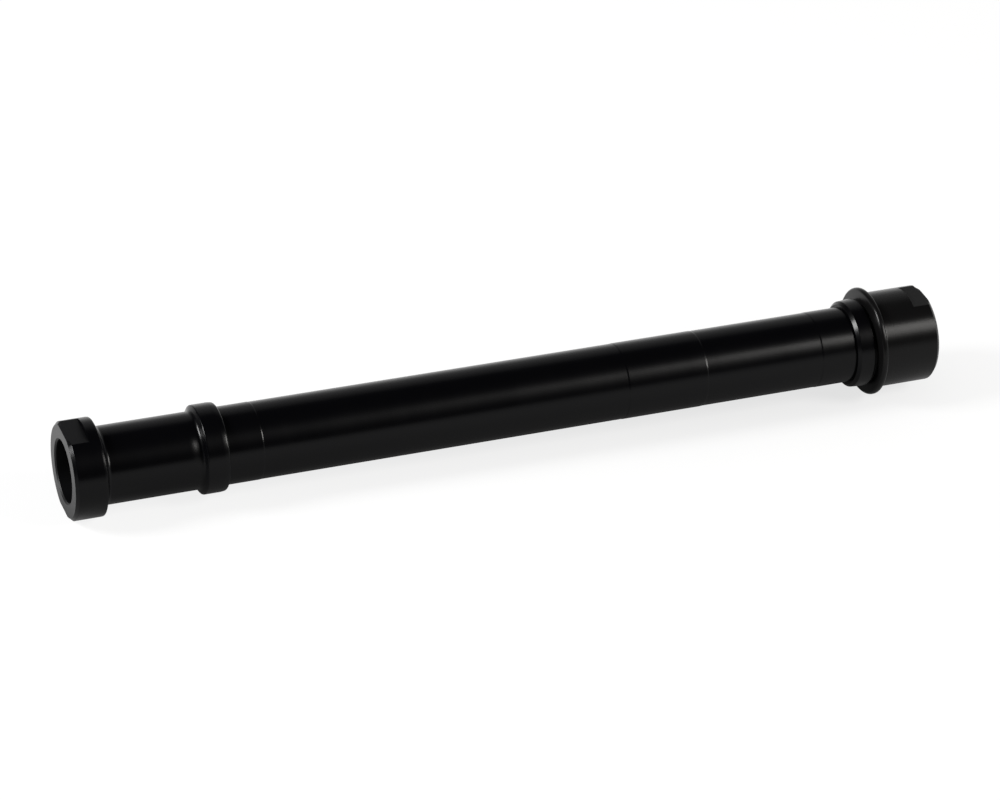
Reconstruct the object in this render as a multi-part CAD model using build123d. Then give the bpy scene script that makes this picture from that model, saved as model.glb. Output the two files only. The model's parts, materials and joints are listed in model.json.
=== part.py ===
from build123d import *
import os

# Hollow hub axle of a rear bicycle wheel that a thru axle holds in the frame: a turned spindle, and the
# cap that screws over its drive-side neck. Millimetres. The axle lies along X, its disc side towards -X,
# with the origin halfway between its two end faces. The wrench flats face up and down.

# The whole axle, and the thru axle that passes through it
OVERALL_LENGTH = 177.0
THRU_AXLE_DIAMETER = 12.0
AXLE_CLEARANCE = 0.1
BORE_EDGE_BREAK = 0.15

# Both ends, whose wall brings them to the size of the recess in the frame, and their wrench flats
END_WALL = 3.4
END_EDGE_BREAK = 0.6
FLATS_LENGTH = 4.0

# Disc-side end of the spindle, and the small step behind it
DISC_END_LENGTH = 6.15
DISC_END_REAR_BREAK = 0.3
DISC_FLATS_DEPTH = 1.0
STEP_HEIGHT = 0.5
STEP_LENGTH = 1.1
STEP_BREAK = 0.25

# Bearing seats, and the shallow relief between them
SEAT_WALL = 1.4
DISC_SEAT_LENGTH = 7.0
HUB_SEAT_LENGTH = 16.7
FREEHUB_SEAT_LENGTH = 7.35
FREEHUB_RELIEF_LENGTH = 24.4
RELIEF_DEPTH = 0.05
RELIEF_RAMP = 0.2

# Collar that stops the disc-side bearing, with a sloping flank towards the disc end and a slight fall and a
# round towards the bearing
COLLAR_STATION = 25.25
COLLAR_WIDTH = 5.0
COLLAR_HEIGHT = 1.1
COLLAR_FLANK = 0.7
COLLAR_FALL = 0.15
COLLAR_FALL_LENGTH = 1.0
COLLAR_SEAT_ROUND = 0.6

# Screwed neck of the spindle, inside the cap
NECK_SHOULDER = 0.5
NECK_END_BREAK = 0.3
NECK_END_GAP = 0.3
THREAD_CLEARANCE = 0.05

# Drive-side cap, from its nose to the end face
NOSE_LENGTH = 3.6
NOSE_HEIGHT = 1.3
NOSE_TAPER = 0.2
NOSE_BREAK = 0.6
FLANGE_FLANK = 0.3
FLANGE_THICKNESS = 1.4
FLANGE_HEIGHT = 1.25
FLANGE_RIM_BREAK = 0.45
DRIVE_END_LENGTH = 11.95
DRIVE_FLATS_DEPTH = 0.8
CAP_FLOOR = 4.25

# Radii that follow from the bore outwards
bore_radius = THRU_AXLE_DIAMETER / 2 + AXLE_CLEARANCE
end_radius = bore_radius + END_WALL
seat_radius = bore_radius + SEAT_WALL
relief_radius = seat_radius - RELIEF_DEPTH
step_radius = seat_radius + STEP_HEIGHT
collar_radius = seat_radius + COLLAR_HEIGHT
neck_radius = seat_radius - NECK_SHOULDER
socket_radius = neck_radius + THREAD_CLEARANCE
nose_radius = seat_radius + NOSE_HEIGHT
nose_front_radius = nose_radius - NOSE_TAPER
flange_radius = end_radius + FLANGE_HEIGHT

# Stations along the axle, measured from the disc-side face
step_end = DISC_END_LENGTH + STEP_LENGTH
collar_end = COLLAR_STATION + COLLAR_WIDTH
disc_seat_end = collar_end + DISC_SEAT_LENGTH
flange_end = OVERALL_LENGTH - DRIVE_END_LENGTH
flange_start = flange_end - FLANGE_THICKNESS
nose_end = flange_start - FLANGE_FLANK
shoulder = nose_end - NOSE_LENGTH
freehub_seat_start = shoulder - FREEHUB_SEAT_LENGTH
hub_seat_end = freehub_seat_start - FREEHUB_RELIEF_LENGTH
hub_seat_start = hub_seat_end - HUB_SEAT_LENGTH
socket_end = OVERALL_LENGTH - CAP_FLOOR
neck_end = socket_end - NECK_END_GAP


def wrench_flats(body, end_face, depth):
    """Mills two parallel flats, up and down, over the last stretch before an end face."""
    cutter = Box(2 * FLATS_LENGTH, 2 * end_radius, 2 * depth, align=(Align.CENTER, Align.CENTER, Align.MIN))
    upper = Pos(end_face, 0, end_radius - depth) * cutter
    return body - upper - mirror(upper, about=Plane.XY)


def spindle():
    """Tube with the disc-side end, the collar, the three seats and the screwed neck."""
    section = [
        (0, bore_radius + BORE_EDGE_BREAK),
        (0, end_radius - END_EDGE_BREAK),
        (END_EDGE_BREAK, end_radius),
        (DISC_END_LENGTH - DISC_END_REAR_BREAK, end_radius),
        (DISC_END_LENGTH, end_radius - DISC_END_REAR_BREAK),
        (DISC_END_LENGTH, step_radius),
        (step_end - STEP_BREAK, step_radius),
        (step_end, step_radius - STEP_BREAK),
        (step_end, seat_radius),
        (COLLAR_STATION, seat_radius),
        (COLLAR_STATION + COLLAR_FLANK, collar_radius),
        (collar_end - COLLAR_FALL_LENGTH, collar_radius),
        (collar_end, collar_radius - COLLAR_FALL),
        (collar_end, seat_radius),
        (disc_seat_end - RELIEF_RAMP, seat_radius),
        (disc_seat_end, relief_radius),
        (hub_seat_start, relief_radius),
        (hub_seat_start + RELIEF_RAMP, seat_radius),
        (hub_seat_end - RELIEF_RAMP, seat_radius),
        (hub_seat_end, relief_radius),
        (freehub_seat_start, relief_radius),
        (freehub_seat_start + RELIEF_RAMP, seat_radius),
        (shoulder, seat_radius),
        (shoulder, neck_radius),
        (neck_end - NECK_END_BREAK, neck_radius),
        (neck_end, neck_radius - NECK_END_BREAK),
        (neck_end, bore_radius),
        (BORE_EDGE_BREAK, bore_radius),
    ]
    face = make_face(Polyline(section, close=True))
    seat_side = face.vertices().sort_by_distance((collar_end, collar_radius - COLLAR_FALL))[0]
    body = revolve(fillet(seat_side, COLLAR_SEAT_ROUND), Axis.X)
    return wrench_flats(body, 0, DISC_FLATS_DEPTH)


def drive_end_cap():
    """Cap with its nose ring, dust flange and round end, bored to take the spindle's neck."""
    section = [
        (shoulder, socket_radius),
        (shoulder, nose_front_radius - NOSE_BREAK),
        (shoulder + NOSE_BREAK, nose_front_radius),
        (nose_end, nose_radius),
        (flange_start, flange_radius - FLANGE_RIM_BREAK),
        (flange_start + FLANGE_RIM_BREAK, flange_radius),
        (flange_end - FLANGE_RIM_BREAK, flange_radius),
        (flange_end, flange_radius - FLANGE_RIM_BREAK),
        (flange_end, end_radius),
        (OVERALL_LENGTH - END_EDGE_BREAK, end_radius),
        (OVERALL_LENGTH, end_radius - END_EDGE_BREAK),
        (OVERALL_LENGTH, bore_radius + BORE_EDGE_BREAK),
        (OVERALL_LENGTH - BORE_EDGE_BREAK, bore_radius),
        (socket_end, bore_radius),
        (socket_end, socket_radius),
    ]
    body = revolve(make_face(Polyline(section, close=True)), Axis.X)
    return wrench_flats(body, OVERALL_LENGTH, DRIVE_FLATS_DEPTH)


os.makedirs("parts", exist_ok=True)
centred = Pos(-OVERALL_LENGTH / 2, 0, 0)
export_step(centred * spindle(), "parts/spindle.step")
export_step(centred * drive_end_cap(), "parts/drive_end_cap.step")
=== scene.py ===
"""Finished surfaces of a bicycle hub axle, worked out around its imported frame, and the studio it lies in."""

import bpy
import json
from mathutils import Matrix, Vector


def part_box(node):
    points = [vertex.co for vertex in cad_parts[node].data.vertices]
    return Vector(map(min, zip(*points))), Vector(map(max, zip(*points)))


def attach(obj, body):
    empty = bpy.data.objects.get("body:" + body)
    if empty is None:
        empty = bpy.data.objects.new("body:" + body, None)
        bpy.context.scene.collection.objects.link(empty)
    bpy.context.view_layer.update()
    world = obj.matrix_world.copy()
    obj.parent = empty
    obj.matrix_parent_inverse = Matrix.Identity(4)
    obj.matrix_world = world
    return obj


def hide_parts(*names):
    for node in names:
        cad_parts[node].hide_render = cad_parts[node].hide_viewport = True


bl_info = {
    "name": "Hub axle",
    "version": (1, 0, 0),
    "blender": (4, 5, 0),
    "location": "View3D > Sidebar > Hub axle",
    "description": "Turns the spindle and the drive-side cap of a hub axle, and sets up their studio",
    "category": "Object",
}

import json
import math

import bpy
import numpy as np
from bpy.props import FloatProperty, FloatVectorProperty, PointerProperty
from mathutils import Matrix, Vector

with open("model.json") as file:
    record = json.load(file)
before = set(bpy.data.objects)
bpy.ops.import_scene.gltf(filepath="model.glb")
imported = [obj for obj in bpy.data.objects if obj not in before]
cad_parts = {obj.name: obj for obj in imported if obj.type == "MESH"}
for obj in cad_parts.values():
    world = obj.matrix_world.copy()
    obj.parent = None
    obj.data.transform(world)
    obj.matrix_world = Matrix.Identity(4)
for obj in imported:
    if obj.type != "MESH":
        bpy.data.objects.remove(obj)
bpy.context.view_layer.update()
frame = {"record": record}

# Places read from the frame. The axle's axis is X, its disc-side face is at -X, and lengths are in metres.
MM = 0.001
MOUNTS = {mount["name"]: mount for mount in frame["record"]["mounts"]}
SPINDLE_LOW, SPINDLE_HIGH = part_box("spindle")
CAP_LOW, CAP_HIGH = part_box("drive_end_cap")


def mount_radius(name):
    """Radius that the record states for a round interface."""
    return MOUNTS[name]["dims"]["r_mm"] * MM


def mount_span(name):
    """First and last X of an interface along the axle."""
    middle = MOUNTS[name]["pos_m"][0]
    half = MOUNTS[name]["dims"]["length_mm"] * MM / 2
    return middle - half, middle + half


DISC_SEAT = mount_span("disc_bearing_seat")
HUB_SEAT = mount_span("hub_bearing_seat")
FREEHUB_SEAT = mount_span("freehub_bearing_seat")
DRIVE_END = mount_span("drive_end_pilot")

# How finely a turned surface is divided. A straight run keeps a supporting point close to each of its ends.
ARC_STEP = math.radians(12)
SUPPORT = 0.04 * MM
SHORTEST_DIVIDED = 4 * SUPPORT
LONGEST_RUN = 6 * MM
THREAD_STEPS = 7
ROUND_STEPS = 96
FLAT_STEPS = 40
BESIDE_FLATS = np.radians([0.5, 1.0, 1.8])
SHARP_ANGLE = math.radians(20)

# Edges and walls that the frame leaves to the finished surface
EDGE = 0.05 * MM
EDGE_SHARE = 0.45
FLAT_EDGE = 0.04 * MM
FLAT_WALL = 0.05 * MM
RELIEF_BLEND = 0.35 * MM

# Least sine that a flat is worked out with, which keeps it finite at the axle's sides
LEAST_SINE = 0.05

# How close to the end face a face of the mesh counts as faced, and how far below the bore's edge as bored
FACED_MARGIN = 1e-6 * MM
BORED_MARGIN = 0.001 * MM

# Side of the tube that the mark ahead of the collar is on, and how it fades round the tube
MARK_MIDDLE = math.radians(139)
MARK_HALF = math.radians(16)
MARK_FADE = math.radians(30)
MARK_STEP = 0.15 * MM

# Slots of a piece's mesh, one for each way that its surface was cut, and one for the cap's nose ring
TURNED, FACED, MILLED, BORED, NOSE = range(5)

# What each cut leaves: the index of refraction of its film, the spacing of its tool marks and their depth
CUTS = {
    TURNED: (1.22, 0.25 * MM, 0.0004 * MM),
    FACED: (1.5, 0.3 * MM, 0.001 * MM),
    MILLED: (1.22, 0.35 * MM, 0.0015 * MM),
    BORED: (1.3, 0.25 * MM, 0.001 * MM),
}
UV_NAME = "along_and_round"

# Width of the slow bands in the gloss, in spacings of the tool marks, and clouds of uneven dye in a metre
BAND_WIDTH = 40.0
DYE_CLOUDS = 260.0


def length(label, description, default):
    """A size in metres that the sidebar shows with the scene's unit."""
    return FloatProperty(name=label, description=description, default=default, unit="LENGTH", precision=5)


def share(label, description, default):
    """A share from 0 to 1."""
    return FloatProperty(name=label, description=description, default=default, min=0, max=1, subtype="FACTOR")


def colour(label, description, default):
    """A linear colour."""
    return FloatVectorProperty(
        name=label, description=description, default=default, size=3, min=0, max=1, subtype="COLOR"
    )


def angle(label, description, degrees):
    """An angle, given here in degrees."""
    return FloatProperty(name=label, description=description, default=math.radians(degrees), subtype="ANGLE")


class HUBAXLE_PG_sizes(bpy.types.PropertyGroup):
    """Sizes of the turned pieces."""

    bore_radius: length("Bore", "Radius of the bore for the thru axle", mount_radius("thru_axle_bore"))
    bore_break: length("Bore edge", "Break on the bore's edge at both faces", 0.3 * MM)
    end_radius: length("Ends", "Radius of both ends, which fit the frame", mount_radius("drive_end_pilot"))
    end_break: length("End edge", "Break on the outer edge of both faces", 0.6 * MM)
    disc_end: length("Disc end", "Length of the disc-side end", 6.15 * MM)
    disc_end_fall: length("Disc end fall", "How far the disc-side end falls towards its rear edge", 0.05 * MM)
    disc_end_fall_length: length("Disc end fall length", "Length of that fall", 0.4 * MM)
    disc_end_round: length("Disc end rear edge", "Round behind the disc-side end", 0.2 * MM)
    disc_foot: length("Disc end foot", "Length of the slope from that end down to the tube", 0.75 * MM)
    disc_hollow: length("Disc end hollow", "Hollow at the foot of that slope", 0.8 * MM)
    disc_flats_depth: length("Disc flats depth", "Depth of the flats at the disc side", 1 * MM)
    flats_length: length("Flats length", "Length of the flats at both ends", 4 * MM)
    seat_radius: length("Seats", "Radius of the bearing seats", mount_radius("disc_bearing_seat"))
    relief_depth: length("Relief", "Depth of the relief between the seats", 0.05 * MM)
    relief_ramp: length("Relief ramp", "Length of the ramp into the relief", 0.2 * MM)
    collar_width: length("Collar width", "Width of the stop collar at its foot", 5 * MM)
    collar_radius: length("Collar", "Radius of the stop collar", 8.6 * MM)
    collar_flank: length("Collar flank", "Length of the collar's sloping flank", 0.7 * MM)
    collar_foot: length("Collar foot", "Hollow at the foot of that flank", 0.9 * MM)
    collar_shoulder: length("Collar shoulder", "Round at the top of that flank", 0.3 * MM)
    collar_fall: length("Collar fall", "How far the collar falls towards the bearing", 0.15 * MM)
    collar_fall_length: length("Collar fall length", "Length of that fall", 0.75 * MM)
    collar_crown: length("Collar crown", "Radius that eases the collar into its fall", 6 * MM)
    collar_round: length("Collar round", "Round on the collar's seat side", 0.4 * MM)
    mark_depth: length("Mark", "Depth of the shallow mark ahead of the collar", 0.16 * MM)
    mark_length: length("Mark length", "Length of that mark", 2.4 * MM)
    neck_radius: length("Neck", "Radius over the thread of the hidden neck", 7 * MM)
    neck_break: length("Neck edge", "Break on the end of the hidden neck", 0.3 * MM)
    thread_pitch: length("Thread pitch", "Pitch of the thread under the cap", 1 * MM)
    thread_depth: length("Thread depth", "Depth of that thread", 0.3 * MM)
    thread_clearance: length("Thread clearance", "Radial room between neck and cap", 0.05 * MM)
    cap_floor: length("Cap floor", "Length of the cap beyond the hidden neck", 4.25 * MM)
    nose_radius: length("Nose", "Radius of the cap's nose ring at the flange", 8.8 * MM)
    nose_taper: length("Nose taper", "How far the nose ring narrows to its front", 0.2 * MM)
    nose_length: length("Nose length", "Length of the cap's nose ring", 3.3 * MM)
    nose_break: length("Nose edge", "Break on the nose ring's edge", 0.6 * MM)
    groove_radius: length("Groove", "Radius of the groove between the nose ring and the flange", 8.2 * MM)
    groove_width: length("Groove width", "Width of that groove", 0.75 * MM)
    flange_radius: length("Flange", "Radius of the dust flange", min(CAP_HIGH.y, -CAP_LOW.y))
    flange_lean: length("Flange lean", "How far the flange's nose-side face leans back at its rim", 0.25 * MM)
    flange_thickness: length("Flange thickness", "Thickness of the dust flange", 1.4 * MM)
    flange_round: length("Flange round", "Round on the flange's nose-side edge", 0.6 * MM)
    flange_rim: length("Flange rim", "Round on the flange's other edge", 0.45 * MM)
    flange_foot: length("Flange foot", "Hollow between the flange and the drive end", 0.55 * MM)
    drive_flats_depth: length("Drive flats depth", "Depth of the flats at the drive side", 0.8 * MM)


class HUBAXLE_PG_finish(bpy.types.PropertyGroup):
    """Colours and gloss of the anodised surfaces."""

    spindle_black: colour("Spindle", "Colour of the spindle's anodising", (0.0008, 0.0008, 0.0011))
    cap_black: colour("Cap", "Colour of the cap's anodising", (0.0029, 0.0028, 0.0029))
    turned_roughness: share("Turned", "Roughness of the turned spindle", 0.24)
    cap_roughness: share("Turned cap", "Roughness of the turned cap", 0.27)
    turned_stretch: share("Turned stretch", "How far the spindle stretches a highlight along the axle", 0.2)
    cap_stretch: share("Cap stretch", "How far the cap stretches a highlight along the axle", 0.6)
    faced_roughness: share("Faced", "Roughness of the faced ends", 0.38)
    milled_roughness: share("Milled", "Roughness of the milled flats", 0.42)
    bored_roughness: share("Bored", "Roughness inside the bore", 0.45)


class HUBAXLE_PG_stage(bpy.types.PropertyGroup):
    """Camera and sweep."""

    view_azimuth: angle("View azimuth", "Turn of the camera's line of sight from +Y to +X", 21.964)
    view_elevation: angle("View elevation", "How steeply the camera looks down", 32.3683)
    view_roll: angle("View roll", "Turn of the camera about its line of sight", 2.9031)
    view_distance: length("View distance", "From the camera to the point that it looks at", 0.796277)
    lens: FloatProperty(
        name="Lens", description="Focal length for a 36 mm frame", default=148.03, unit="CAMERA"
    )
    sweep_white: colour("Sweep", "Colour of the floor and the backdrop", (0.1, 0.1, 0.1))


def outline(corners):
    """Closed outline through (station, radius, edge, step) corners.

    Each corner gives way to the arc of its edge radius that touches both of its runs, no further along a run
    than EDGE_SHARE of it. A straight run keeps a point close to each end, so that the shading of an edge
    stays there, and is divided so that no stretch is longer than its step. Returns stations and radii.
    """
    points = np.array([(station, radius) for station, radius, _, _ in corners])
    edges = np.array([edge for _, _, edge, _ in corners])
    before = np.roll(points, 1, axis=0) - points
    after = np.roll(points, -1, axis=0) - points
    shorter = np.minimum(np.hypot(*before.T), np.hypot(*after.T))
    before /= np.hypot(*before.T)[:, None]
    after /= np.hypot(*after.T)[:, None]
    half = np.arccos(np.clip((before * after).sum(axis=1), -1, 1)) / 2
    reach = np.minimum(edges / np.tan(half), EDGE_SHARE * shorter)
    starts = points + before * reach[:, None]
    ends = points + after * reach[:, None]
    rows = []
    for k, (_, _, edge, step) in enumerate(corners):
        if edge:
            turn = math.pi - 2 * half[k]
            centre = points[k] + (before[k] + after[k]) * reach[k] / (2 * math.cos(half[k]) ** 2)
            along = np.linspace(0, turn, math.ceil(turn / ARC_STEP) + 1)[:, None]
            arc = np.sin(turn - along) * (starts[k] - centre) + np.sin(along) * (ends[k] - centre)
            rows.append(centre + arc / math.sin(turn))
        else:
            rows.append(points[k : k + 1])
        run = starts[(k + 1) % len(corners)] - ends[k]
        run_length = math.hypot(*run)
        if run_length > SHORTEST_DIVIDED:
            count = max(2, math.ceil(run_length / step) + 1)
            places = np.linspace(SUPPORT, run_length - SUPPORT, count) / run_length
            rows.append(ends[k] + places[:, None] * run)
    return np.concatenate(rows).T


def corner(station, radius, edge=EDGE, step=LONGEST_RUN):
    """One corner of an outline, with the radius of its edge and the longest stretch of the run after it."""
    return station, radius, edge, step


def round_angles(half):
    """Angles round the axis from +Y over +Z, with grid lines on the edges of both flats and beside them."""
    level = np.linspace(-half, half, FLAT_STEPS + 1)
    flat = np.concatenate([half - BESIDE_FLATS, BESIDE_FLATS - half, level])
    side = np.concatenate([half + BESIDE_FLATS, math.pi - half - BESIDE_FLATS])
    plain = np.linspace(half, math.pi - half, ROUND_STEPS + 1)[1:-1]
    one_half = np.sort(np.concatenate([flat, side, plain]))
    return np.concatenate([one_half, one_half + math.pi]) + math.pi / 2


class Flats:
    """Two parallel flats, up and down, over the last stretch before an end face."""

    def __init__(self, end_face, depth, sizes):
        self.end_face = end_face
        self.stretch = sizes.flats_length
        self.height = sizes.end_radius - depth
        self.end_radius = sizes.end_radius
        self.face_radius = sizes.end_radius - sizes.end_break
        self.inner_radius = sizes.bore_radius + sizes.bore_break
        self.half_angle = math.acos(self.height / self.end_radius)

    def radii(self, stations, radii, angles):
        """Radius over the grid of outline points and angles.

        The height h of the flats stays level, and rises past the round end in a short wall behind them. Over
        that stretch a radius gives way to L, the smooth lesser of itself and h / |sin angle|. The end face,
        from its inner radius a to its outer radius b, is drawn in with the L of b:
        r = a + (radius - a) (L - a) / (b - a).
        """
        inward = np.abs(stations - self.end_face)
        climb = np.clip((inward - self.stretch + FLAT_WALL) / FLAT_WALL, 0, 1)
        height = self.height + climb * (self.end_radius - self.height + FLAT_EDGE)
        flat = height[:, None] / np.maximum(np.abs(np.sin(angles)), LEAST_SINE)
        within = (inward < self.stretch) & (radii > self.inner_radius)
        outer = np.where(within & (inward > 0), radii, self.face_radius)[:, None]
        lesser = (outer + flat - np.sqrt((outer - flat) ** 2 + FLAT_EDGE**2)) / 2
        share_kept = (lesser - self.inner_radius) / (outer - self.inner_radius)
        base = radii[:, None]
        drawn_in = self.inner_radius + (base - self.inner_radius) * share_kept
        return np.where(within[:, None], drawn_in, base)

    def faces(self, stations, radii, angles):
        """True for the faces of the grid, given by their middles, that lie on the flats."""
        inward = np.abs(stations - self.end_face)
        rows = (inward > 0) & (inward < self.stretch - FLAT_WALL) & (radii > self.inner_radius)
        off = np.abs(np.abs(angles % (2 * math.pi) - math.pi) - math.pi / 2)
        return rows[:, None] & (radii[:, None] * np.cos(off) > self.height)


def cut_thread(radii, stations, base_radii, angles, wall_radius, sizes):
    """Winds the thread into the wall of one radius, the neck's or the socket's.

    It lowers the wall to r - d (1 - cos(2 pi x / pitch - angle)) / 2, faded in and out over one pitch between
    the shoulder and the break at the neck's end.
    """
    pitch = sizes.thread_pitch
    neck_end = SPINDLE_HIGH.x - sizes.neck_break
    fade = np.clip(np.minimum(stations - CAP_LOW.x, neck_end - stations) / pitch, 0, 1)
    fade = np.where(np.abs(base_radii - wall_radius) < EDGE, fade, 0)
    wave = (1 - np.cos(2 * math.pi * stations[:, None] / pitch - angles)) / 2
    return radii - sizes.thread_depth * fade[:, None] * wave


def press_mark(radii, stations, angles, start, sizes):
    """Lowers one side of the tube ahead of the collar: r - d s w.

    Along the mark, for t from 0 to 1, its share s is t - sin(2 pi t) / (2 pi), which goes back to 0 up the
    collar's flank. Round the axle its share w is 1 over a middle stretch and falls to 0 on both sides as a
    cosine.
    """
    t = np.clip((stations - start) / sizes.mark_length, 0, 1)
    back = np.clip((stations - start - sizes.mark_length) / sizes.collar_flank, 0, 1)
    along = (t - np.sin(2 * math.pi * t) / (2 * math.pi)) * (1 + np.cos(math.pi * back)) / 2
    along = np.where(radii[:, 0] > sizes.neck_radius, along, 0)
    off = np.abs((angles - MARK_MIDDLE + math.pi) % (2 * math.pi) - math.pi)
    side = (1 + np.cos(math.pi * np.clip((off - MARK_HALF) / MARK_FADE, 0, 1))) / 2
    return radii - sizes.mark_depth * along[:, None] * side


def turned_piece(name, stations, base_radii, radii, angles, flats, materials, nose_end=-math.inf):
    """Mesh of a closed outline carried round the axle: x = station, y = r cos(angle), z = r sin(angle).

    Both ways round the grid close on themselves, so the skin has no seam and no pole. Faces take the slot of
    the way that they were cut, and turned ones that lie before nose_end take the nose ring's. A UV map runs
    along the outline and round the axle.
    """
    count, around = radii.shape
    x = np.broadcast_to(stations[:, None], radii.shape)
    points = np.stack([x, radii * np.cos(angles), radii * np.sin(angles)], axis=-1).reshape(-1, 3)
    i, j = np.meshgrid(np.arange(count), np.arange(around), indexing="ij")
    next_i, next_j = (i + 1) % count, (j + 1) % around
    corners = (i * around + j, i * around + next_j, next_i * around + next_j, next_i * around + j)
    mesh = bpy.data.meshes.new(name)
    mesh.from_pydata(points, [], np.stack(corners, axis=-1).reshape(-1, 4))

    middle_station = (stations + np.roll(stations, -1)) / 2
    middle_radius = (base_radii + np.roll(base_radii, -1)) / 2
    middle_angle = angles + (np.roll(angles, -1) - angles) % (2 * math.pi) / 2
    kinds = np.full(radii.shape, TURNED)
    kinds[np.abs(middle_station - flats.end_face) < FACED_MARGIN] = FACED
    kinds[middle_radius < flats.inner_radius - BORED_MARGIN] = BORED
    kinds[flats.faces(middle_station, middle_radius, middle_angle)] = MILLED
    kinds[(kinds == TURNED) & (middle_station < nose_end)[:, None]] = NOSE
    for material in materials:
        mesh.materials.append(material)
    mesh.polygons.foreach_set("material_index", kinds.ravel().astype(np.int32))
    mesh.polygons.foreach_set("use_smooth", np.ones(kinds.size, dtype=bool))

    steps = np.hypot(np.diff(stations, append=stations[0]), np.diff(base_radii, append=base_radii[0]))
    run = np.concatenate([[0], np.cumsum(steps)])
    turn = np.arange(around + 1) / around
    u = np.stack([run[i], run[i], run[i + 1], run[i + 1]], axis=-1) / run[-1]
    v = np.stack([turn[j], turn[j + 1], turn[j + 1], turn[j]], axis=-1)
    uv = mesh.uv_layers.new(name=UV_NAME)
    uv.data.foreach_set("uv", np.stack([u, v], axis=-1).ravel().astype(np.float32))

    mesh.set_sharp_from_angle(angle=SHARP_ANGLE)
    mesh.validate()
    piece = bpy.data.objects.new(name, mesh)
    bpy.context.scene.collection.objects.link(piece)
    return piece


def socket_value(node, **values):
    """Sets sockets of a node by name."""
    for key, value in values.items():
        node.inputs[key].default_value = value
    return node


def new_node(tree, kind, **values):
    """A node of a kind, with values for its sockets."""
    return socket_value(tree.nodes.new(kind), **values)


def math_node(tree, operation, first, second):
    """The result of one sum on two values or sockets."""
    node = tree.nodes.new("ShaderNodeMath")
    node.operation = operation
    for socket, value in zip(node.inputs, (first, second)):
        if isinstance(value, bpy.types.NodeSocket):
            tree.links.new(value, socket)
        else:
            socket.default_value = value
    return node.outputs[0]


def group_tree(name, inputs, outputs):
    """A shader node group with float sockets, and its input and output nodes."""
    tree = bpy.data.node_groups.new(name, "ShaderNodeTree")
    for label, default in inputs.items():
        socket = tree.interface.new_socket(label, in_out="INPUT", socket_type="NodeSocketFloat")
        socket.default_value = default
    for label in outputs:
        tree.interface.new_socket(label, in_out="OUTPUT", socket_type="NodeSocketFloat")
    return tree, tree.nodes.new("NodeGroupInput"), tree.nodes.new("NodeGroupOutput")


def tool_marks_group():
    """Marks that a cutting edge leaves across its feed: noise that varies along one distance alone.

    Fine marks lie one spacing apart, and slow bands that are many spacings wide change the gloss a little.
    """
    inputs = {"Distance": 0.0, "Spacing": 0.2 * MM}
    tree, given, result = group_tree("Tool marks", inputs, ("Height", "Bands"))
    steps = math_node(tree, "DIVIDE", given.outputs["Distance"], given.outputs["Spacing"])
    for output, slowness, detail in (("Height", 1.0, 2.0), ("Bands", BAND_WIDTH, 3.0)):
        noise = new_node(tree, "ShaderNodeTexNoise", Scale=1.0, Detail=detail, Roughness=0.6)
        noise.noise_dimensions = "1D"
        tree.links.new(math_node(tree, "DIVIDE", steps, slowness), noise.inputs["W"])
        tree.links.new(noise.outputs["Fac"], result.inputs[output])
    return tree


def anodise_group():
    """Dyed anodic film: its gloss follows the bands of the tool marks, and its dye is a little uneven."""
    inputs = {"Bands": 0.5, "Roughness": 0.25, "Gloss spread": 0.06, "Dye spread": 0.25}
    tree, given, result = group_tree("Dyed film", inputs, ("Dye", "Roughness"))
    place = tree.nodes.new("ShaderNodeTexCoord")
    cloud = new_node(tree, "ShaderNodeTexNoise", Scale=DYE_CLOUDS, Detail=3.0, Roughness=0.55)
    tree.links.new(place.outputs["Object"], cloud.inputs["Vector"])
    centred = math_node(tree, "SUBTRACT", cloud.outputs["Fac"], 0.5)
    dye = math_node(tree, "MULTIPLY", centred, given.outputs["Dye spread"])
    tree.links.new(math_node(tree, "ADD", dye, 1.0), result.inputs["Dye"])
    swing = math_node(tree, "SUBTRACT", given.outputs["Bands"], 0.5)
    swing = math_node(tree, "MULTIPLY", swing, given.outputs["Gloss spread"])
    tree.links.new(math_node(tree, "ADD", given.outputs["Roughness"], swing), result.inputs["Roughness"])
    return tree


def shared_group(name, build):
    """The node group of that name, built the first time that it is asked for."""
    return bpy.data.node_groups.get(name) or build()


def cut_distance(tree, kind):
    """Distance that the tool's marks vary over.

    It runs along the axle on turned and bored walls, out from the axis on a faced end, and across the axle on
    a milled flat.
    """
    place = tree.nodes.new("ShaderNodeTexCoord")
    split = tree.nodes.new("ShaderNodeSeparateXYZ")
    tree.links.new(place.outputs["Object"], split.inputs[0])
    if kind == FACED:
        square_y = math_node(tree, "MULTIPLY", split.outputs["Y"], split.outputs["Y"])
        square_z = math_node(tree, "MULTIPLY", split.outputs["Z"], split.outputs["Z"])
        return math_node(tree, "SQRT", math_node(tree, "ADD", square_y, square_z), 0.0)
    return split.outputs["Y" if kind == MILLED else "X"]


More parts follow.
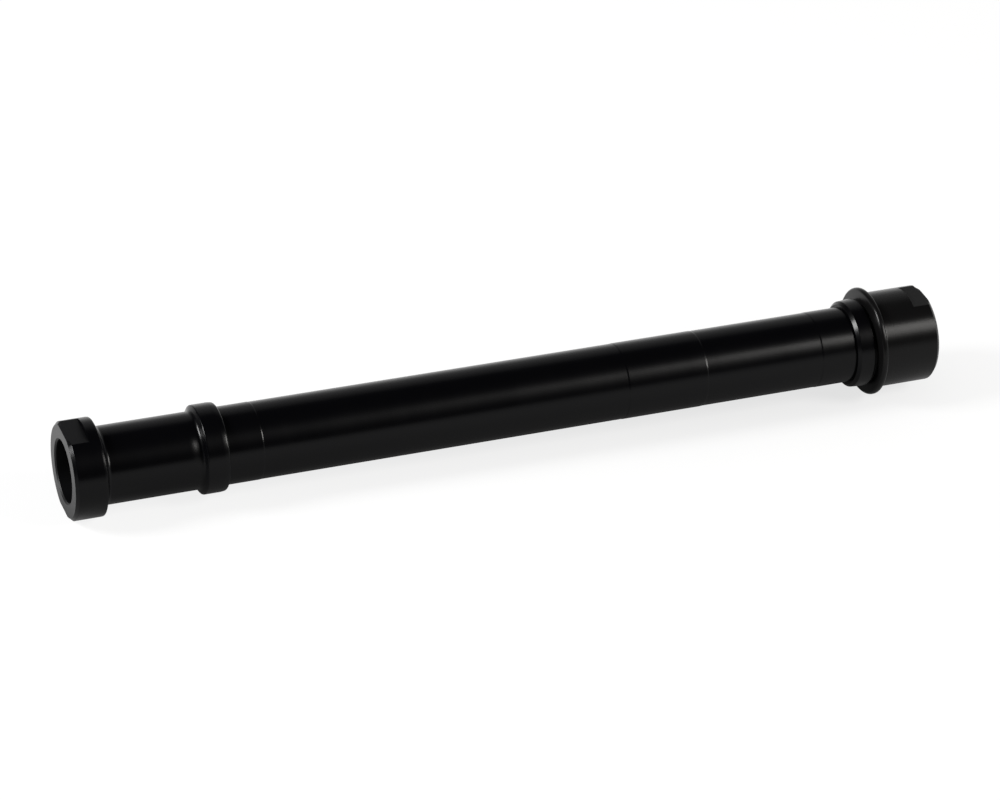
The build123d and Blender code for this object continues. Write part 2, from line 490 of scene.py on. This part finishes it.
def anodised(name, kind, black, roughness, stretch=0.0):
    """Black anodised aluminium as one kind of cut leaves it, with its highlights stretched across the cut."""
    ior, spacing, mark_depth = CUTS[kind]
    material = bpy.data.materials.new(name)
    material.use_nodes = True
    tree = material.node_tree
    surface = tree.nodes["Principled BSDF"]
    socket_value(surface, Metallic=0.0, IOR=ior, Anisotropic=stretch)
    along = tree.nodes.new("ShaderNodeTangent")
    along.direction_type = "UV_MAP"
    along.uv_map = UV_NAME
    tree.links.new(along.outputs[0], surface.inputs["Tangent"])

    marks = tree.nodes.new("ShaderNodeGroup")
    marks.node_tree = shared_group("Tool marks", tool_marks_group)
    marks.inputs["Spacing"].default_value = spacing
    tree.links.new(cut_distance(tree, kind), marks.inputs["Distance"])

    film = tree.nodes.new("ShaderNodeGroup")
    film.node_tree = shared_group("Dyed film", anodise_group)
    film.inputs["Roughness"].default_value = roughness
    tree.links.new(marks.outputs["Bands"], film.inputs["Bands"])
    tree.links.new(film.outputs["Roughness"], surface.inputs["Roughness"])

    dyed = tree.nodes.new("ShaderNodeVectorMath")
    dyed.operation = "SCALE"
    dyed.inputs[0].default_value = black
    tree.links.new(film.outputs["Dye"], dyed.inputs["Scale"])
    tree.links.new(dyed.outputs[0], surface.inputs["Base Color"])

    bump = new_node(tree, "ShaderNodeBump", Strength=1.0, Distance=mark_depth)
    tree.links.new(marks.outputs["Height"], bump.inputs["Height"])
    tree.links.new(bump.outputs["Normal"], surface.inputs["Normal"])
    return material


def piece_materials(piece, black, turned_roughness, stretch, finish):
    """The four finishes of one piece, in the order of the mesh's slots."""
    return [
        anodised(f"{piece}_turned", TURNED, black, turned_roughness, stretch),
        anodised(f"{piece}_faced", FACED, black, finish.faced_roughness),
        anodised(f"{piece}_milled", MILLED, black, finish.milled_roughness),
        anodised(f"{piece}_bored", BORED, black, finish.bored_roughness),
    ]


def spindle_corners(sizes):
    """Corners of the spindle's section: out along the disc-side face, along the outside, back in the bore."""
    left = SPINDLE_LOW.x
    end = left + sizes.disc_end
    collar_end = DISC_SEAT[0]
    collar = collar_end - sizes.collar_width
    shoulder = CAP_LOW.x
    tip = SPINDLE_HIGH.x
    seat = sizes.seat_radius
    relief = seat - sizes.relief_depth
    ramp = sizes.relief_ramp
    bore = sizes.bore_radius
    thread_step = sizes.thread_pitch / THREAD_STEPS
    return [
        corner(left, bore + sizes.bore_break),
        corner(left, sizes.end_radius - sizes.end_break),
        corner(left + sizes.end_break, sizes.end_radius),
        corner(left + sizes.flats_length - FLAT_WALL, sizes.end_radius, 0),
        corner(left + sizes.flats_length, sizes.end_radius, 0),
        corner(end - sizes.disc_end_fall_length, sizes.end_radius),
        corner(end, sizes.end_radius - sizes.disc_end_fall, sizes.disc_end_round),
        corner(end + sizes.disc_foot, seat, sizes.disc_hollow),
        corner(collar - sizes.mark_length, seat, 0, MARK_STEP),
        corner(collar, seat, sizes.collar_foot),
        corner(collar + sizes.collar_flank, sizes.collar_radius, sizes.collar_shoulder),
        corner(collar_end - sizes.collar_fall_length, sizes.collar_radius, sizes.collar_crown),
        corner(collar_end, sizes.collar_radius - sizes.collar_fall, sizes.collar_round),
        corner(collar_end, seat),
        corner(DISC_SEAT[1], seat, RELIEF_BLEND),
        corner(DISC_SEAT[1] + ramp, relief, RELIEF_BLEND),
        corner(HUB_SEAT[0] - ramp, relief, RELIEF_BLEND),
        corner(HUB_SEAT[0], seat, RELIEF_BLEND),
        corner(HUB_SEAT[1], seat, RELIEF_BLEND),
        corner(HUB_SEAT[1] + ramp, relief, RELIEF_BLEND),
        corner(FREEHUB_SEAT[0] - ramp, relief, RELIEF_BLEND),
        corner(FREEHUB_SEAT[0], seat, RELIEF_BLEND),
        corner(shoulder, seat),
        corner(shoulder, sizes.neck_radius, EDGE, thread_step),
        corner(tip - sizes.neck_break, sizes.neck_radius),
        corner(tip, sizes.neck_radius - sizes.neck_break),
        corner(tip, bore),
        corner(left + sizes.bore_break, bore),
    ]


def cap_corners(sizes):
    """Corners of the cap's section: out along the nose, along the outside, back through bore and socket."""
    shoulder = CAP_LOW.x
    right = CAP_HIGH.x
    nose_end = shoulder + sizes.nose_length
    flange_start = nose_end + sizes.groove_width
    flange_end = flange_start + sizes.flange_thickness
    floor = right - sizes.cap_floor
    socket = sizes.neck_radius + sizes.thread_clearance
    bore = sizes.bore_radius
    flange = sizes.flange_radius
    nose_front = sizes.nose_radius - sizes.nose_taper
    flats_start = right - sizes.flats_length
    return [
        corner(shoulder, socket),
        corner(shoulder, nose_front - sizes.nose_break),
        corner(shoulder + sizes.nose_break, nose_front),
        corner(nose_end, sizes.nose_radius),
        corner(nose_end, sizes.groove_radius),
        corner(flange_start, sizes.groove_radius),
        corner(flange_start + sizes.flange_lean, flange, sizes.flange_round),
        corner(flange_end, flange, sizes.flange_rim),
        corner(flange_end, sizes.end_radius, sizes.flange_foot),
        corner(flats_start, sizes.end_radius, 0),
        corner(flats_start + FLAT_WALL, sizes.end_radius, 0),
        corner(right - sizes.end_break, sizes.end_radius),
        corner(right, sizes.end_radius - sizes.end_break),
        corner(right, bore + sizes.bore_break),
        corner(right - sizes.bore_break, bore),
        corner(floor, bore),
        corner(floor, socket, EDGE, sizes.thread_pitch / THREAD_STEPS),
    ]


def dress(piece, node):
    """Lets a finished piece stand for its node, on the one body of the row."""
    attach(piece, "root")
    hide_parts(node)


class HUBAXLE_OT_spindle(bpy.types.Operator):
    """Turns the spindle with its collar, seats, threaded neck and disc-side flats"""

    bl_idname = "hub_axle.spindle"
    bl_label = "Spindle"

    def execute(self, context):
        sizes, finish = context.scene.hub_axle_sizes, context.scene.hub_axle_finish
        stations, base = outline(spindle_corners(sizes))
        flats = Flats(SPINDLE_LOW.x, sizes.disc_flats_depth, sizes)
        angles = round_angles(flats.half_angle)
        radii = flats.radii(stations, base, angles)
        mark = DISC_SEAT[0] - sizes.collar_width - sizes.mark_length
        radii = press_mark(radii, stations, angles, mark, sizes)
        radii = cut_thread(radii, stations, base, angles, sizes.neck_radius, sizes)
        black, roughness, stretch = finish.spindle_black, finish.turned_roughness, finish.turned_stretch
        materials = piece_materials("spindle", black, roughness, stretch, finish)
        piece = turned_piece("turned_spindle", stations, base, radii, angles, flats, materials)
        dress(piece, "spindle")
        return {"FINISHED"}


class HUBAXLE_OT_cap(bpy.types.Operator):
    """Turns the drive-side cap with its nose ring, dust flange, threaded socket and flats"""

    bl_idname = "hub_axle.cap"
    bl_label = "Drive-side cap"

    def execute(self, context):
        sizes, finish = context.scene.hub_axle_sizes, context.scene.hub_axle_finish
        stations, base = outline(cap_corners(sizes))
        flats = Flats(CAP_HIGH.x, sizes.drive_flats_depth, sizes)
        angles = round_angles(flats.half_angle)
        radii = flats.radii(stations, base, angles)
        socket = sizes.neck_radius + sizes.thread_clearance
        radii = cut_thread(radii, stations, base, angles, socket, sizes)
        black, roughness, stretch = finish.cap_black, finish.cap_roughness, finish.cap_stretch
        materials = piece_materials("cap", black, roughness, stretch, finish)
        black, roughness, stretch = finish.spindle_black, finish.turned_roughness, finish.turned_stretch
        materials.append(anodised("cap_nose", TURNED, black, roughness, stretch))
        nose_end = CAP_LOW.x + sizes.nose_length + sizes.groove_width / 2
        piece = turned_piece("turned_drive_cap", stations, base, radii, angles, flats, materials, nose_end)
        dress(piece, "drive_end_cap")
        return {"FINISHED"}


# Sweep: a floor that the flange and the disc-side end both touch, and its rim, which climbs most behind
FLANGE_TOUCH = DRIVE_END[0] - 0.675 * MM
DISC_END_TOUCH = SPINDLE_LOW.x + 5 * MM
FLOOR_REACH = 0.9
SWEEP_REACH = 1.6
FRONT_RISE = 0.20
BACK_RISE = 2.0
# Grid of the sweep, whose rings lie wider apart near the small plate in the middle
PLATE_RADIUS = 1 * MM
SWEEP_RINGS = 60
SWEEP_SPOKES = 96
RING_EXPONENT = 0.7
# White of the sweep as the camera sees it, on top of the paper that the lamps light
SWEEP_GLOW = 0.874
# Painted shade on the sweep as the axle mirrors it: levels of its white by its height and by its place from
# left to right
PAINTED_HEIGHT_SHADE = ((0.0, 1.0), (0.252, 0.59), (0.46, 0.46), (1.0, 0.43), (1.4, 0.34), (2.0, 0.14))
PAINTED_SIDE_SHADE = ((-0.6, 0.1), (-0.25, 0.48), (-0.1, 0.82), (-0.04, 0.96), (0.0, 1.0))
# Painted shadow on the floor: how the sky that the axle hides darkens the sweep's glow, for the camera, more
# so to the right, and in the axle
SHADE_RADIUS = mount_radius("disc_bearing_seat")
SEEN_SHADE = 0.14
SEEN_GROWTH = 1.2
MIRRORED_SHADE = 2.5
# Lamps, each by the point that it stands at, the size of its pane, its power and its tint
MAIN_PLACE = Vector((0.78, -0.65, 0.69))
MAIN_PANE = (0.38, 0.56)
MAIN_POWER = 16.5
MAIN_TINT = (1.0, 0.98, 0.95)
SIDE_PLACE = Vector((-0.76, 0.10, 0.54))
SIDE_PANE = (0.28, 0.44)
SIDE_POWER = 15.0
SIDE_TINT = (1.0, 1.0, 1.0)
ROOM_GREY = 0.02
# Point that the camera looks at, and how close to the camera its view starts
AIM = Vector((-1.1837, 0.3121, -0.1630)) * MM
VIEW_START = 0.01


def sweep_points():
    """Floor and rim of the sweep over a grid of rings and spokes round the axle.

    The floor is the plane that touches the flange and the disc-side end from below. Past its reach the rim
    climbs as a quarter ellipse, up to a rise that swings from the front's to the back's with the direction.
    """
    ring = np.linspace(0, 1, SWEEP_RINGS)[:, None] ** RING_EXPONENT
    turn = np.linspace(0, 2 * math.pi, SWEEP_SPOKES, endpoint=False)[None, :]
    reach = PLATE_RADIUS + SWEEP_REACH * ring
    x, y = reach * np.cos(turn), reach * np.sin(turn)
    slope = (CAP_LOW.z - SPINDLE_LOW.z) / (FLANGE_TOUCH - DISC_END_TOUCH)
    climb = np.clip((reach - FLOOR_REACH) / (SWEEP_REACH - FLOOR_REACH), 0, 1)
    behind = (1 + np.sin(turn)) / 2
    rise = FRONT_RISE + (BACK_RISE - FRONT_RISE) * behind
    z = SPINDLE_LOW.z + slope * (x - DISC_END_TOUCH) + rise * (1 - np.sqrt(1 - climb**2))
    return np.stack([x, y, z], axis=-1)


def level_ramp(tree, value, stops):
    """Level that (value, level) stops give in between them. A new ramp has two stops, and takes more."""
    low, high = stops[0][0], stops[-1][0]
    ramp = tree.nodes.new("ShaderNodeValToRGB")
    elements = ramp.color_ramp.elements
    for k, (place, level) in enumerate(stops):
        position = (place - low) / (high - low)
        stop = elements[k] if k < 2 else elements.new(position)
        stop.position = position
        stop.color = (level, level, level, 1)
    share_of_span = math_node(tree, "DIVIDE", math_node(tree, "SUBTRACT", value, low), high - low)
    tree.links.new(share_of_span, ramp.inputs[0])
    return ramp.outputs[0]


def hidden_sky(tree, x, y):
    """Share of the sky that the axle hides from a place on the floor, which paints a shadow into the sweep's
    glow.

    A long bar of radius r whose axis lies h above the floor hides r h / q of the sky, where q is the square
    of the distance to its axis. Each of its two ends, a length a along from the place, leaves
    a / sqrt(a a + q) of a half.
    """
    height = -CAP_LOW.z
    square = math_node(tree, "ADD", math_node(tree, "MULTIPLY", y, y), height**2)
    halves = []
    for end, sign in ((CAP_HIGH.x, -1.0), (-SPINDLE_LOW.x, 1.0)):
        along = math_node(tree, "ADD", math_node(tree, "MULTIPLY", x, sign), end)
        reach = math_node(tree, "ADD", math_node(tree, "MULTIPLY", along, along), square)
        halves.append(math_node(tree, "DIVIDE", along, math_node(tree, "SQRT", reach, 0.0)))
    whole = math_node(tree, "DIVIDE", SHADE_RADIUS * height / 2, square)
    return math_node(tree, "MULTIPLY", whole, math_node(tree, "ADD", *halves))


def sweep_material(white):
    """White paper that camera, glossy and transmitted rays see as white, with the lamps' shadows left on it.

    In its glow all see a painted shadow, by how much of the sky the axle hides. In the axle it also fades
    as it climbs, and towards the left, which is painted shade.
    """
    material = bpy.data.materials.new("sweep_paper")
    material.use_nodes = True
    tree = material.node_tree
    tree.nodes.remove(tree.nodes["Principled BSDF"])
    paper = new_node(tree, "ShaderNodeBsdfDiffuse", Color=(*white, 1))

    place = tree.nodes.new("ShaderNodeTexCoord")
    split = tree.nodes.new("ShaderNodeSeparateXYZ")
    tree.links.new(place.outputs["Object"], split.inputs[0])
    # Painted shadow: the glow, seen and mirrored, is darkened by the share of sky that the axle hides
    hidden = hidden_sky(tree, split.outputs["X"], split.outputs["Y"])
    open_sky = math_node(tree, "SUBTRACT", 1.0, hidden)
    mirrored = math_node(tree, "POWER", open_sky, MIRRORED_SHADE)
    # Painted shade in the mirrored sweep: dimmer as it climbs and towards the left
    mirrored = math_node(tree, "MULTIPLY", mirrored, level_ramp(tree, split.outputs["Z"], PAINTED_HEIGHT_SHADE))
    mirrored = math_node(tree, "MULTIPLY", mirrored, level_ramp(tree, split.outputs["X"], PAINTED_SIDE_SHADE))
    # Painted shadow as the camera sees it, stronger towards the drive side
    growth = math_node(tree, "MULTIPLY", split.outputs["X"], SEEN_GROWTH)
    darkness = math_node(tree, "ADD", growth, SEEN_SHADE)
    seen = math_node(tree, "SUBTRACT", 1.0, math_node(tree, "MULTIPLY", hidden, darkness))
    seen = math_node(tree, "MULTIPLY", seen, SWEEP_GLOW)

    path = tree.nodes.new("ShaderNodeLightPath")
    glossy, transmitted = path.outputs["Is Glossy Ray"], path.outputs["Is Transmission Ray"]
    mirrored = math_node(tree, "MULTIPLY", mirrored, math_node(tree, "MAXIMUM", glossy, transmitted))
    seen = math_node(tree, "MULTIPLY", seen, path.outputs["Is Camera Ray"])
    glow = new_node(tree, "ShaderNodeEmission", Color=(1, 1, 1, 1))
    tree.links.new(math_node(tree, "ADD", mirrored, seen), glow.inputs["Strength"])

    lit = tree.nodes.new("ShaderNodeAddShader")
    tree.links.new(paper.outputs[0], lit.inputs[0])
    tree.links.new(glow.outputs[0], lit.inputs[1])
    tree.links.new(lit.outputs[0], tree.nodes["Material Output"].inputs["Surface"])
    return material


def add_sweep(white):
    """The sweep as one mesh, closed in the middle by a small plate of the same grid."""
    i, j = np.meshgrid(np.arange(SWEEP_RINGS - 1), np.arange(SWEEP_SPOKES), indexing="ij")
    ring, next_ring, next_j = i * SWEEP_SPOKES, (i + 1) * SWEEP_SPOKES, (j + 1) % SWEEP_SPOKES
    corners = (ring + j, next_ring + j, next_ring + next_j, ring + next_j)
    plate = list(range(SWEEP_SPOKES))
    faces = np.stack(corners, axis=-1).reshape(-1, 4).tolist() + [plate]
    mesh = bpy.data.meshes.new("sweep")
    mesh.from_pydata(sweep_points().reshape(-1, 3), [], faces)
    mesh.materials.append(sweep_material(white))
    mesh.polygons.foreach_set("use_smooth", np.ones(len(mesh.polygons), dtype=bool))
    sweep = bpy.data.objects.new("sweep", mesh)
    bpy.context.scene.collection.objects.link(sweep)


def add_lamp(name, place, pane, power, tint):
    """A soft oval lamp that faces the axle."""
    lamp = bpy.data.lights.new(name, "AREA")
    lamp.shape = "ELLIPSE"
    lamp.size, lamp.size_y = pane
    lamp.energy = power
    lamp.color = tint
    holder = bpy.data.objects.new(name, lamp)
    holder.location = place
    holder.rotation_euler = place.to_track_quat("Z", "Y").to_euler()
    bpy.context.scene.collection.objects.link(holder)


def add_room():
    """A dim, even room above the sweep."""
    world = bpy.data.worlds.new("room")
    world.use_nodes = True
    background = world.node_tree.nodes["Background"]
    socket_value(background, Color=(ROOM_GREY, ROOM_GREY, ROOM_GREY, 1), Strength=1.0)
    bpy.context.scene.world = world


def add_camera(stage):
    """Camera on the line of sight given by azimuth and elevation, turned about it by the roll."""
    azimuth, elevation, roll = stage.view_azimuth, stage.view_elevation, stage.view_roll
    flat = math.cos(elevation)
    ahead = Vector((math.sin(azimuth) * flat, math.cos(azimuth) * flat, -math.sin(elevation)))
    level = Vector((math.cos(azimuth), -math.sin(azimuth), 0))
    upright = level.cross(ahead)
    right = level * math.cos(roll) + upright * math.sin(roll)
    up = right.cross(ahead)
    data = bpy.data.cameras.new("view")
    data.lens = stage.lens
    data.sensor_fit = "HORIZONTAL"
    data.clip_start = VIEW_START
    camera = bpy.data.objects.new("view", data)
    turn = Matrix((right, up, -ahead)).transposed().to_4x4()
    camera.matrix_world = Matrix.Translation(AIM - ahead * stage.view_distance) @ turn
    bpy.context.scene.collection.objects.link(camera)
    bpy.context.scene.camera = camera


class HUBAXLE_OT_stage(bpy.types.Operator):
    """Sets up the white sweep, the lamps, the room and the camera"""

    bl_idname = "hub_axle.stage"
    bl_label = "Stage"

    def execute(self, context):
        stage = context.scene.hub_axle_stage
        add_sweep(stage.sweep_white)
        add_lamp("main_softbox", MAIN_PLACE, MAIN_PANE, MAIN_POWER, MAIN_TINT)
        add_lamp("side_softbox", SIDE_PLACE, SIDE_PANE, SIDE_POWER, SIDE_TINT)
        add_room()
        add_camera(stage)
        context.scene.view_settings.view_transform = "Standard"
        return {"FINISHED"}


class HUBAXLE_PT_panel(bpy.types.Panel):
    """Sizes and finishes of the hub axle, and the steps that build it"""

    bl_idname = "HUBAXLE_PT_panel"
    bl_label = "Hub axle"
    bl_space_type = "VIEW_3D"
    bl_region_type = "UI"
    bl_category = "Hub axle"

    def draw(self, context):
        layout = self.layout
        for operator in OPERATORS:
            layout.operator(operator.bl_idname)
        for group in SETTINGS:
            settings = getattr(context.scene, group)
            box = layout.box()
            for name in settings.__annotations__:
                box.prop(settings, name)


SETTINGS = {
    "hub_axle_sizes": HUBAXLE_PG_sizes,
    "hub_axle_finish": HUBAXLE_PG_finish,
    "hub_axle_stage": HUBAXLE_PG_stage,
}
OPERATORS = (HUBAXLE_OT_spindle, HUBAXLE_OT_cap, HUBAXLE_OT_stage)
CLASSES = (*SETTINGS.values(), *OPERATORS, HUBAXLE_PT_panel)


def register():
    """Registers the classes and hangs the settings on the scene."""
    for cls in CLASSES:
        bpy.utils.register_class(cls)
    for name, group in SETTINGS.items():
        setattr(bpy.types.Scene, name, PointerProperty(type=group))


def unregister():
    """Takes the settings off the scene and the classes out again."""
    for name in SETTINGS:
        delattr(bpy.types.Scene, name)
    for cls in reversed(CLASSES):
        bpy.utils.unregister_class(cls)


def main():
    """Builds both pieces and the stage."""
    register()
    bpy.ops.hub_axle.spindle()
    bpy.ops.hub_axle.cap()
    bpy.ops.hub_axle.stage()


if __name__ == "__main__":
    main()
